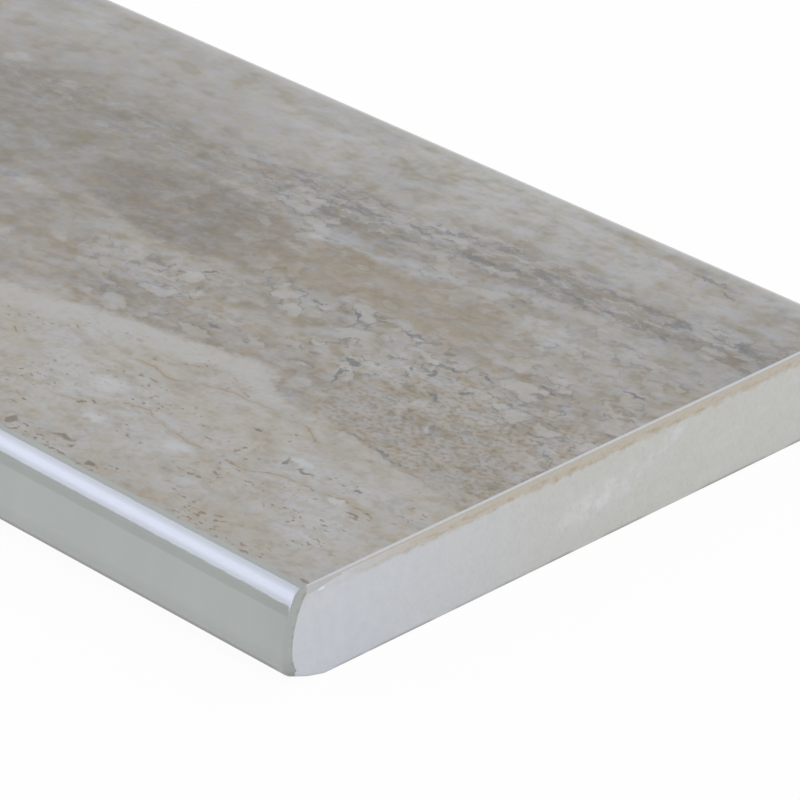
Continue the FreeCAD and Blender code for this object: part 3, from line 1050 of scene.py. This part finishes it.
# The face is satin, the nose is glossy and the arris lies between. The glaze's film is uneven by a
# few hundredths of a millimetre over a few millimetres, which softens what it mirrors.
SATIN = 0.42
GLOSS = 0.06
ARRIS_GLOSS = 0.2
GLAZE_IOR = 1.5
FILM_WAVE = 3.5
FILM_DEPTH = 0.06
roughness = add(tree, "MapRange", printed, 0.0, 1.0, GLOSS, SATIN)
arris_roughness = (ARRIS_GLOSS, ARRIS_GLOSS, ARRIS_GLOSS, 1)
roughness = add(tree, "MixRGB", arris_mask, roughness, arris_roughness)
# The glaze mirrors less near the nose's foot, in place of the shaded ground below it.
shine = add(tree, "MapRange", true_up, 1.2, 1.9, 0.1, 0.5)
film = add(tree, "TexNoise", Vector=place, Scale=1 / FILM_WAVE, Detail=3)
bump = add(tree, "Bump", 0.25, Distance=FILM_DEPTH * MM, Height=film)
glaze_shader = add(
    tree,
    "BsdfPrincipled",
    Base_Color=top_colour,
    Roughness=roughness,
    Normal=bump,
    IOR=GLAZE_IOR,
    Specular_IOR_Level=shine,
)
add(tree, "OutputMaterial", glaze_shader)

# The bare body shows at the ends, the straight edge and the bed: porcelain biscuit, pressed from
# fine clay and fired hard, so it is off-white, matt and faintly sandy. It is a little bluer by the
# nose, and a ragged tan line of engobe runs under the glaze.
BISCUIT = "#c2c3c2"
BISCUIT_COOL = "#c5cad3"
ENGOBE, ENGOBE_SPECK = "#b9b2a6", "#a3927a"
BISCUIT_ROUGHNESS = 0.75
BISCUIT_IOR = 1.5
GRIT = 0.5
GRIT_DEPTH = 0.05
biscuit = bpy.data.materials.new("porcelain biscuit")
biscuit.use_nodes = True
tree = biscuit.node_tree
tree.nodes.clear()
place = measured_places(tree)
_, body_across, body_up = add(tree, "SeparateXYZ", place).outputs
# The body's colour turns bluer over the 40 mm towards the nose.
toward_nose = add(tree, "MapRange", body_across, 2, 42, 1.0, 0.0, interpolation_type="SMOOTHSTEP")
body_colour = add(tree, "MixRGB", toward_nose, srgb(BISCUIT), srgb(BISCUIT_COOL))
clay = add(tree, "TexNoise", Vector=place, Scale=1 / 1.4, Detail=4, Roughness=0.6)
clay_tone = add(tree, "MapRange", clay, 0.3, 0.7, 0.97, 1.03)
body_colour = add(tree, "VectorMath", body_colour, Scale=clay_tone, operation="SCALE")
wavy = add(tree, "TexNoise", Vector=place, Scale=1 / 1.6, Detail=4, Roughness=0.6)
line_height = add(tree, "Math", wavy, 1.5, body_up, operation="MULTIPLY_ADD")
engobe_line = add(tree, "MapRange", line_height, 9.1, 9.7, interpolation_type="SMOOTHSTEP")
engobe_there = add(tree, "MapRange", body_across, 6.0, 18.0, 0.12, 0.85)
engobe_line = both(engobe_line, engobe_there)
body_colour = add(tree, "MixRGB", engobe_line, body_colour, srgb(ENGOBE))
specks = add(tree, "Mapping", place, Scale=(1, 1 / 1.6, 1 / 0.5))
specks = add(tree, "TexNoise", Vector=specks, Scale=1.0, Detail=3, Roughness=0.6)
specks = both(where(specks, 0.46, 0.6), both(engobe_line, between(line_height, 9.2, 10.0, 0.25)))
body_colour = lay(body_colour, ENGOBE_SPECK, specks, 0.6)

# Slip has been wiped across the body in faint slanting streaks, and in two broad broken smears on
# the near end. A small painted glint sits at that end's top corner, by the nose, where the glaze
# catches the light.
SLIP_STREAK, SLIP_SMEAR, PAINTED_GLINT = "#cbcccb", "#d3d7dd", "#e6ebf4"
streak_scale = (1, 1 / 9, 1 / 1.5)
wiped = add(tree, "Mapping", place, Rotation=(math.radians(35), 0, 0), Scale=streak_scale)
wiped = add(tree, "TexNoise", Vector=wiped, Scale=1.0, Detail=3)
body_colour = lay(body_colour, SLIP_STREAK, where(wiped, 0.54, 0.72), 0.3)
SMEARS = (
    # across, up, half length, half width, tilt
    (48.6, 6.9, 5.5, 1.0, 24),
    (40.0, 4.5, 8.0, 2.4, 10),
)
PAINTED_GLINT_PLACE = (4.05, 9.05, 0.65, 0.16, 8)


def end_mark(middle_across, middle_up, half_long, half_wide, tilt):
    """A soft mark on the near end, 1 in its middle and 0 outside."""
    spot = add(
        tree,
        "Mapping",
        place,
        Location=(0, middle_across, middle_up),
        Rotation=(math.radians(tilt), 0, 0),
        Scale=(THROUGH, half_long, half_wide),
        vector_type="TEXTURE",
    )
    return where(add(tree, "TexGradient", spot, gradient_type="SPHERICAL").outputs[1], 0.0, 0.8)


for smear in SMEARS:
    smear_mask = both(end_mark(*smear), where(wavy, 0.36, 0.62))
    body_colour = lay(body_colour, SLIP_SMEAR, smear_mask, 0.65)
# A painted glint: a small bright mark laid into the body's colour.
body_colour = lay(body_colour, PAINTED_GLINT, end_mark(*PAINTED_GLINT_PLACE), 0.9)

# Fine sand shows all over the body, and the bed and the body's lowest fraction of a millimetre are
# greyer in patches.
SAND_PALE, SAND_DARK, LOW_GREY = "#2c2e31", "#f3f0ea", "#8f918f"
sand = add(tree, "TexNoise", Vector=place, Scale=1 / 0.45, Detail=4, Roughness=0.7)
sandy = add(tree, "MapRange", toward_nose, 0.0, 1.0, 0.6, 0.35)
body_colour = mottle(body_colour, sand, SAND_PALE, SAND_DARK, sandy)
low_grey_patches = add(tree, "TexNoise", Vector=place, Scale=1 / 9, Detail=3)
low_grey_patches = both(where(low_grey_patches, 0.42, 0.56), add(tree, "MapRange", body_up, 0.45, 0.2))
body_colour = lay(body_colour, LOW_GREY, low_grey_patches, 0.6)
grit = add(tree, "TexNoise", Vector=place, Scale=1 / GRIT, Detail=3)
bump = add(tree, "Bump", 0.4, Distance=GRIT_DEPTH * MM, Height=grit)
body_shader = add(
    tree,
    "BsdfPrincipled",
    Base_Color=body_colour,
    Roughness=BISCUIT_ROUGHNESS,
    Normal=bump,
    IOR=BISCUIT_IOR,
)
add(tree, "OutputMaterial", body_shader)

# The glaze covers the face, the nose and the arrises. Below, it stops just past the bevel's top,
# and earlier towards the ends, where it draws back from the corner.
GLAZE_UNDER = 0.9
GLAZE_DRAWN_BACK = 1.3
tile.data.materials.append(glaze)
tile.data.materials.append(biscuit)
for face in tile.data.polygons:
    middle = face.center / MM
    at_end = abs(middle.x) > half_length - MERGE
    at_back = middle.y > back - MERGE
    over_the_end = 1 - min((half_length - abs(middle.x)) / NOSE_ARRIS, 1)
    glaze_stop = bevel_top.x + GLAZE_UNDER - GLAZE_DRAWN_BACK * over_the_end
    under = middle.z < bevel_top.y + NOSE_ARRIS and middle.y > glaze_stop
    face.material_index = 1 if at_end or at_back or under else 0
